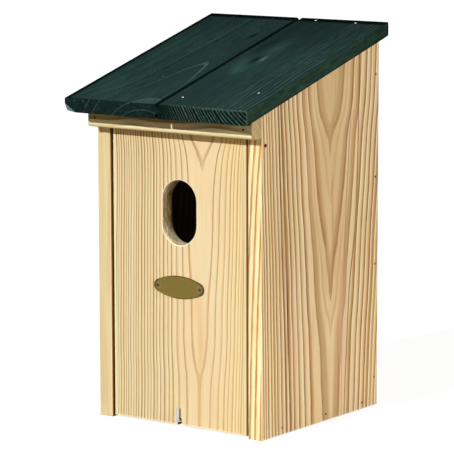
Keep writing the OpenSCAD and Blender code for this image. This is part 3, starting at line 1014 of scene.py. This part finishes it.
plateStyle = {
    "rimWidth": 0.75, "pressed": 0.18, "pinSpan": 38.5, "metal": 0.35,
    **palette(olive=(114, 108, 44), brown=(122, 98, 46), grey=(124, 118, 90), rim=(72, 52, 14)),
}


def goTo(mode):
    bpy.ops.object.mode_set(mode=mode)


def takeOnly(piece):
    bpy.ops.object.select_all(action="DESELECT")
    piece.select_set(True)
    bpy.context.view_layer.objects.active = piece


def pickFaces(piece, wanted):
    # goes into edit mode with only those faces selected for which wanted is true
    goTo("EDIT")
    bpy.ops.mesh.select_mode(type="FACE")
    bpy.ops.mesh.select_all(action="DESELECT")
    goTo("OBJECT")
    for face in piece.data.polygons:
        face.select = wanted(face)
    goTo("EDIT")


def insetAndMove(width, back=0.0, up=0.0):
    # insets the picked faces and moves them, in mm
    bpy.ops.mesh.inset(thickness=width * mm, depth=0)
    bpy.ops.transform.translate(value=(0, back * mm, up * mm))


def finishPiece(piece, body, material):
    goTo("OBJECT")
    takeOnly(piece)
    bpy.ops.object.transform_apply(location=True, rotation=True, scale=True)
    dress(piece, material)
    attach(piece, body)


def pressPlate(style):
    # a merged copy of the plate: its field is pressed back, which leaves a rim and a ring by each pin
    plate = bpy.data.objects.new("oval_plate", nodes["name_plate"].data.copy())
    bpy.context.scene.collection.objects.link(plate)
    takeOnly(plate)
    goTo("EDIT")
    bpy.ops.mesh.select_all(action="SELECT")
    bpy.ops.mesh.remove_doubles(threshold=0.01 * mm)
    pickFaces(plate, lambda face: face.normal.y < -0.9)
    insetAndMove(style["rimWidth"], back=style["pressed"])
    finishPiece(plate, "front", dullBrass("dullBrass", style))
    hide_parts("name_plate")


bradStyle = {"radius": 0.85, "proud": 0.1, "length": 2.0, "sides": 16, "rounding": 0.16, "dimple": 0.06}
pinStyle = {"radius": 1.15, "proud": 0.35, "length": 1.3, "sides": 20, "rounding": 0.4, "dimple": -0.12}
# how far the rounding rises, where the dimple starts, both as shares, and the smoothing angle
headShape = {"rise": 0.45, "flat": 0.35, "smooth": 35}


def modelHead(style, name):
    # a nail's head and the top of its shank, pointing up, the wood's face at height 0
    bpy.ops.object.select_all(action="DESELECT")
    middle = (style["proud"] - style["length"] / 2) * mm
    bpy.ops.mesh.primitive_cylinder_add(vertices=style["sides"], radius=style["radius"] * mm,
                                        depth=style["length"] * mm, location=(0, 0, middle))
    head = bpy.context.object
    head.name = name
    pickFaces(head, lambda face: face.normal.z > 0.9)
    insetAndMove(style["rounding"], up=style["rounding"] * headShape["rise"])
    insetAndMove(style["radius"] * headShape["flat"], up=-style["dimple"])
    goTo("OBJECT")
    takeOnly(head)
    bpy.ops.object.transform_apply(location=True, rotation=True, scale=True)
    bpy.ops.object.shade_smooth_by_angle(angle=math.radians(headShape["smooth"]))
    return head


def driveNail(pattern, name, body, place, way, material):
    takeOnly(pattern)
    bpy.ops.object.duplicate(linked=False)
    nail = bpy.context.object
    nail.name = name
    turned = Vector(way).to_track_quat("Z", "Y").to_matrix().to_4x4()
    nail.matrix_world = Matrix.Translation(Vector(place) * mm) @ turned
    finishPiece(nail, body, material)


def onRoof(across, back):
    # a place on the roof's upper face, from its distance behind the roof's front edge
    return (across, boxLow.y + back, roofFront[2] + back * math.tan(pitch))


bradRows = {
    # into the back wall's edges: in from the walls' back edges, and how high
    "inFromBack": 4.5, "heights": (255, 177, 110, 22),
    # into the middle of the floor's edges: how far behind the walls' front edges
    "alongFloor": (26, 83, 132),
    # across from the middle, and up from the batten's lower edge
    "battenAcross": 67.6, "battenUp": 7,
    # across from the middle, and how far behind the roof's front edge
    "roof": [(14, 16), (69, 33), (57, 176), (20, 177)],
}


def driveBrads(rows, pattern):
    alongBack = [(wallHigh.y - rows["inFromBack"], up) for up in rows["heights"]]
    floorMiddle = (floorLow.z + floorHigh.z) / 2
    alongFloor = [(wallLow.y + back, floorMiddle) for back in rows["alongFloor"]]
    for number, (back, up) in enumerate(alongBack + alongFloor, 1):
        driveNail(pattern, f"brad_right_{number}", "box", (wallHigh.x, back, up), (1, 0, 0), nailSteel)
        driveNail(pattern, f"brad_left_{number}", "box", (leftLow.x, back, up), (-1, 0, 0), nailSteel)
    for number, side in enumerate((-1, 1), 1):
        place = (side * rows["battenAcross"], battenLow.y, battenLow.z + rows["battenUp"])
        driveNail(pattern, f"brad_batten_{number}", "box", place, (0, -1, 0), nailSteel)
    square = (0, -math.sin(pitch), math.cos(pitch))
    for name, side, material in (("roofRight", 1, brightNail), ("roofLeft", -1, stainedNail)):
        for number, (across, back) in enumerate(rows["roof"], 1):
            driveNail(pattern, f"brad_{name}_{number}", "box", onRoof(side * across, back), square, material)


def pinPlate(style, pattern):
    middle = (plateLow.z + plateHigh.z) / 2
    for side, name in ((-1, "plate_pin_left"), (1, "plate_pin_right")):
        place = (side * style["pinSpan"] / 2, plateLow.y, middle)
        driveNail(pattern, name, "front", place, (0, -1, 0), pinBrass)


pressPlate(plateStyle)
brad = modelHead(bradStyle, "bradPattern")
driveBrads(bradRows, brad)
pin = modelHead(pinStyle, "pinPattern")
pinPlate(plateStyle, pin)
for pattern in (brad, pin):
    bpy.data.objects.remove(pattern)
print("plate pressed, brads and pins driven")


# ---- floor and world

def whiteToCamera():
    # 1 for rays that end in the picture, straight, by a mirror or through glass
    path = Wire.node("LightPath", None, None, "Is Camera Ray")
    for output in ("Is Glossy Ray", "Is Transmission Ray"):
        path = path.most(Wire.node("LightPath", None, None, output))
    return path


floor = {"size": 16, "seen": 0.16, "bounce": (0.3, 0.25, 0.19), "glow": 0.9}


def addFloor():
    bpy.ops.mesh.primitive_plane_add(size=floor["size"], location=(0, 0, 0))
    made = bpy.context.object
    made.name = "studioFloor"
    material = startMaterial("studioFloor")
    seen = whiteToCamera()
    grey = blend(seen, floor["bounce"] + (1,), (floor["seen"],) * 3 + (1,))
    matt = Wire.node("BsdfDiffuse", None, {"Color": grey})
    glow = Wire.node("Emission", None, {"Color": (1, 1, 1, 1), "Strength": seen * floor["glow"]})
    both = Wire.node("AddShader", None, {0: matt, 1: glow})
    Wire.node("OutputMaterial", None, {"Surface": both})
    made.data.materials.append(material)


sky = {"light": 0.14, "tint": (1.0, 0.9, 0.74, 1), "white": (1, 1, 1, 1)}


def lightWorld():
    world = bpy.data.worlds.new("studio")
    bpy.context.scene.world = world
    startNodes(world)
    seen = whiteToCamera()
    strength = seen + (1 - seen) * sky["light"]
    tint = blend(seen, sky["tint"], sky["white"])
    light = Wire.node("Background", None, {"Color": tint, "Strength": strength})
    Wire.node("OutputWorld", None, {"Surface": light})


addFloor()
lightWorld()
print("studio built")
